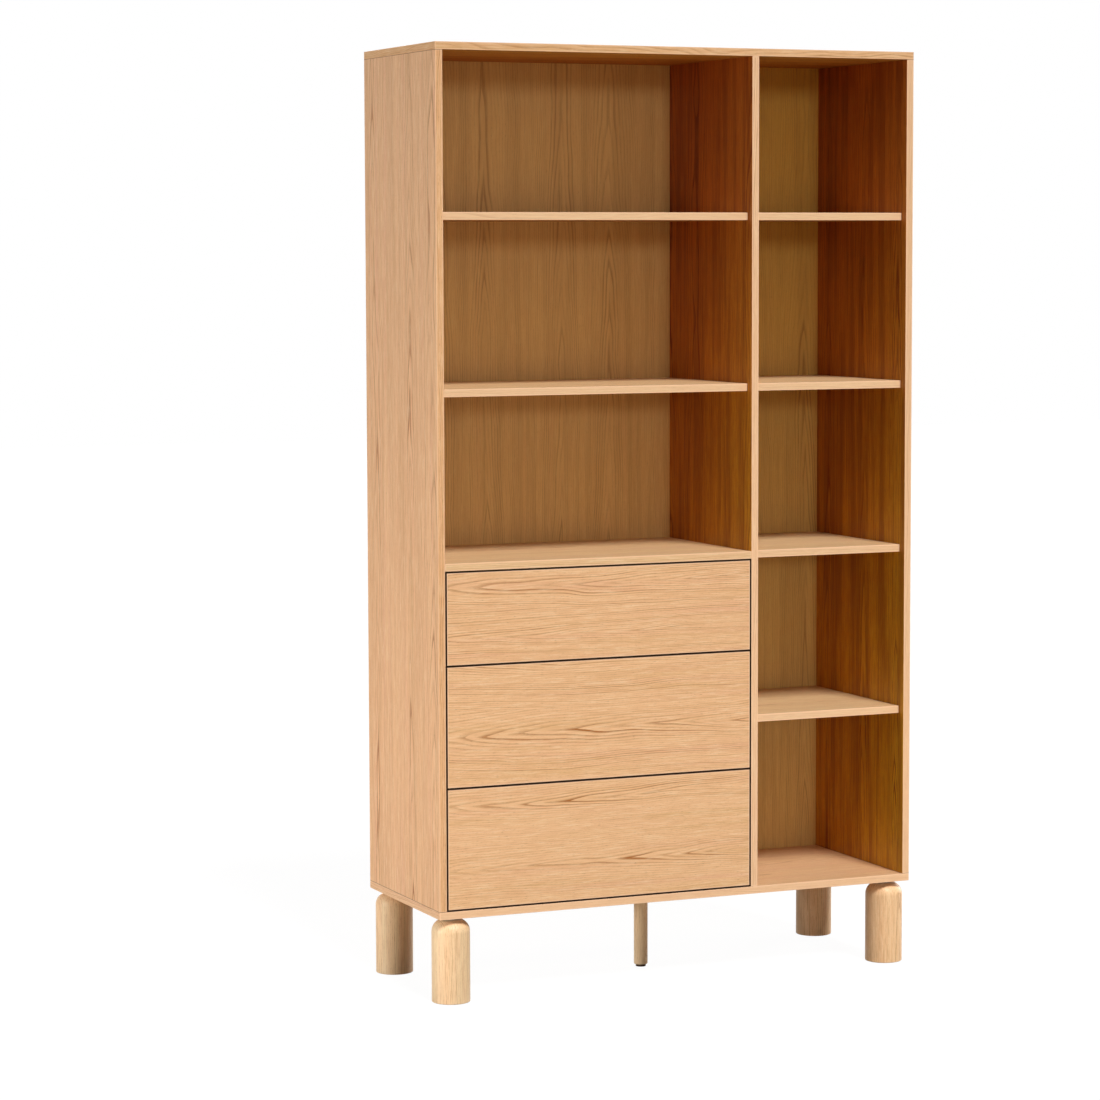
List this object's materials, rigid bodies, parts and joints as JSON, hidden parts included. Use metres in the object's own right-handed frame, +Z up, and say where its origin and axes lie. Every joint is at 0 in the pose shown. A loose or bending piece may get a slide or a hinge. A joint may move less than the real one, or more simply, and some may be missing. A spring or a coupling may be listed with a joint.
{
  "type": "shelving unit",
  "caption": "Tall shelving unit of oak-veneered board on turned legs, with a partition, loose shelves and push-to-open drawers on ball-bearing runners.",
  "frame": {"origin": "on the floor under the middle of the unit's box", "axes": "+Z up, +X to the right of someone facing the unit, +Y to the wall; the drawers open towards -Y"},
  "size_m": [1.1, 0.406, 1.97],
  "materials": {
    "oak_veneer": "matt lacquered oak veneer on board",
    "solid_oak": "matt lacquered turned oak",
    "beech": "plain beech",
    "drawer_ply": "lacquered birch ply",
    "white_board": "white painted hardboard",
    "zinc_steel": "zinc plated steel",
    "nickel_steel": "nickel plated steel",
    "cage_steel": "plain steel",
    "spring_steel": "spring steel wire",
    "grey_plastic": "moulded plastic",
    "white_plastic": "moulded plastic",
    "brown_felt": "pressed felt"
  },
  "bodies": {
    "carcass": {"top_panel": "oak_veneer", "bottom_panel": "oak_veneer", "left_side": "oak_veneer", "right_side": "oak_veneer", "partition": "oak_veneer", "back_panel": "oak_veneer", "fixed_shelf": "oak_veneer", "left_shelf_lower": "oak_veneer", "left_shelf_upper": "oak_veneer", "right_shelf_1": "oak_veneer", "right_shelf_2": "oak_veneer", "right_shelf_3": "oak_veneer", "right_shelf_4": "oak_veneer", "leg_front_left": "solid_oak", "leg_front_right": "solid_oak", "leg_rear_left": "solid_oak", "leg_rear_right": "solid_oak", "centre_leg": "solid_oak", "leg_plates": "zinc_steel", "leg_bolts": "zinc_steel", "leg_glides": "brown_felt", "shelf_pins": "nickel_steel", "carcass_dowels": "beech", "carcass_screws": "zinc_steel", "cabinet_rails": "zinc_steel", "ejector_housings": "grey_plastic", "ejector_springs": "spring_steel"},
    "lower_drawer": {"lower_drawer_front": "oak_veneer", "lower_drawer_left_side": "drawer_ply", "lower_drawer_right_side": "drawer_ply", "lower_drawer_back": "drawer_ply", "lower_drawer_bottom": "white_board", "lower_drawer_screws": "zinc_steel", "lower_drawer_rails": "zinc_steel"},
    "lower_runner_centres": {"lower_centre_rails": "zinc_steel"},
    "lower_outer_cages": {"lower_outer_ball_cages": "cage_steel"},
    "lower_inner_cages": {"lower_inner_ball_cages": "cage_steel"},
    "lower_ejector_rod": {"lower_ejector": "white_plastic"},
    "middle_drawer": {"middle_drawer_front": "oak_veneer", "middle_drawer_left_side": "drawer_ply", "middle_drawer_right_side": "drawer_ply", "middle_drawer_back": "drawer_ply", "middle_drawer_bottom": "white_board", "middle_drawer_screws": "zinc_steel", "middle_drawer_rails": "zinc_steel"},
    "middle_runner_centres": {"middle_centre_rails": "zinc_steel"},
    "middle_outer_cages": {"middle_outer_ball_cages": "cage_steel"},
    "middle_inner_cages": {"middle_inner_ball_cages": "cage_steel"},
    "middle_ejector_rod": {"middle_ejector": "white_plastic"},
    "upper_drawer": {"upper_drawer_front": "oak_veneer", "upper_drawer_left_side": "drawer_ply", "upper_drawer_right_side": "drawer_ply", "upper_drawer_back": "drawer_ply", "upper_drawer_bottom": "white_board", "upper_drawer_screws": "zinc_steel", "upper_drawer_rails": "zinc_steel"},
    "upper_runner_centres": {"upper_centre_rails": "zinc_steel"},
    "upper_outer_cages": {"upper_outer_ball_cages": "cage_steel"},
    "upper_inner_cages": {"upper_inner_ball_cages": "cage_steel"},
    "upper_ejector_rod": {"upper_ejector": "white_plastic"}
  },
  "joints": [
    {"name": "lower_drawer_slide", "type": "slide", "parent": "carcass", "child": "lower_drawer", "axis": [0, -1, 0], "range_m": [-0.002, 0.35]},
    {"name": "lower_centre_rail_slide", "type": "slide", "parent": "carcass", "child": "lower_runner_centres", "axis": [0, -1, 0], "range_m": [-0.001, 0.175]},
    {"name": "lower_outer_cage_slide", "type": "slide", "parent": "carcass", "child": "lower_outer_cages", "axis": [0, -1, 0], "range_m": [-0.0005, 0.0875]},
    {"name": "lower_inner_cage_slide", "type": "slide", "parent": "carcass", "child": "lower_inner_cages", "axis": [0, -1, 0], "range_m": [-0.0015, 0.2625]},
    {"name": "lower_ejector_slide", "type": "slide", "parent": "carcass", "child": "lower_ejector_rod", "axis": [0, -1, 0], "range_m": [-0.00008, 0.014]},
    {"name": "middle_drawer_slide", "type": "slide", "parent": "carcass", "child": "middle_drawer", "axis": [0, -1, 0], "range_m": [-0.002, 0.35]},
    {"name": "middle_centre_rail_slide", "type": "slide", "parent": "carcass", "child": "middle_runner_centres", "axis": [0, -1, 0], "range_m": [-0.001, 0.175]},
    {"name": "middle_outer_cage_slide", "type": "slide", "parent": "carcass", "child": "middle_outer_cages", "axis": [0, -1, 0], "range_m": [-0.0005, 0.0875]},
    {"name": "middle_inner_cage_slide", "type": "slide", "parent": "carcass", "child": "middle_inner_cages", "axis": [0, -1, 0], "range_m": [-0.0015, 0.2625]},
    {"name": "middle_ejector_slide", "type": "slide", "parent": "carcass", "child": "middle_ejector_rod", "axis": [0, -1, 0], "range_m": [-0.00008, 0.014]},
    {"name": "upper_drawer_slide", "type": "slide", "parent": "carcass", "child": "upper_drawer", "axis": [0, -1, 0], "range_m": [-0.002, 0.35]},
    {"name": "upper_centre_rail_slide", "type": "slide", "parent": "carcass", "child": "upper_runner_centres", "axis": [0, -1, 0], "range_m": [-0.001, 0.175]},
    {"name": "upper_outer_cage_slide", "type": "slide", "parent": "carcass", "child": "upper_outer_cages", "axis": [0, -1, 0], "range_m": [-0.0005, 0.0875]},
    {"name": "upper_inner_cage_slide", "type": "slide", "parent": "carcass", "child": "upper_inner_cages", "axis": [0, -1, 0], "range_m": [-0.0015, 0.2625]},
    {"name": "upper_ejector_slide", "type": "slide", "parent": "carcass", "child": "upper_ejector_rod", "axis": [0, -1, 0], "range_m": [-0.00008, 0.014]}
  ],
  "couplings": [
    {"joint": "lower_centre_rail_slide", "follows": "lower_drawer_slide", "ratio": 0.5},
    {"joint": "lower_outer_cage_slide", "follows": "lower_drawer_slide", "ratio": 0.25},
    {"joint": "lower_inner_cage_slide", "follows": "lower_drawer_slide", "ratio": 0.75},
    {"joint": "lower_ejector_slide", "follows": "lower_drawer_slide", "ratio": 0.04},
    {"joint": "middle_centre_rail_slide", "follows": "middle_drawer_slide", "ratio": 0.5},
    {"joint": "middle_outer_cage_slide", "follows": "middle_drawer_slide", "ratio": 0.25},
    {"joint": "middle_inner_cage_slide", "follows": "middle_drawer_slide", "ratio": 0.75},
    {"joint": "middle_ejector_slide", "follows": "middle_drawer_slide", "ratio": 0.04},
    {"joint": "upper_centre_rail_slide", "follows": "upper_drawer_slide", "ratio": 0.5},
    {"joint": "upper_outer_cage_slide", "follows": "upper_drawer_slide", "ratio": 0.25},
    {"joint": "upper_inner_cage_slide", "follows": "upper_drawer_slide", "ratio": 0.75},
    {"joint": "upper_ejector_slide", "follows": "upper_drawer_slide", "ratio": 0.04}
  ]
}
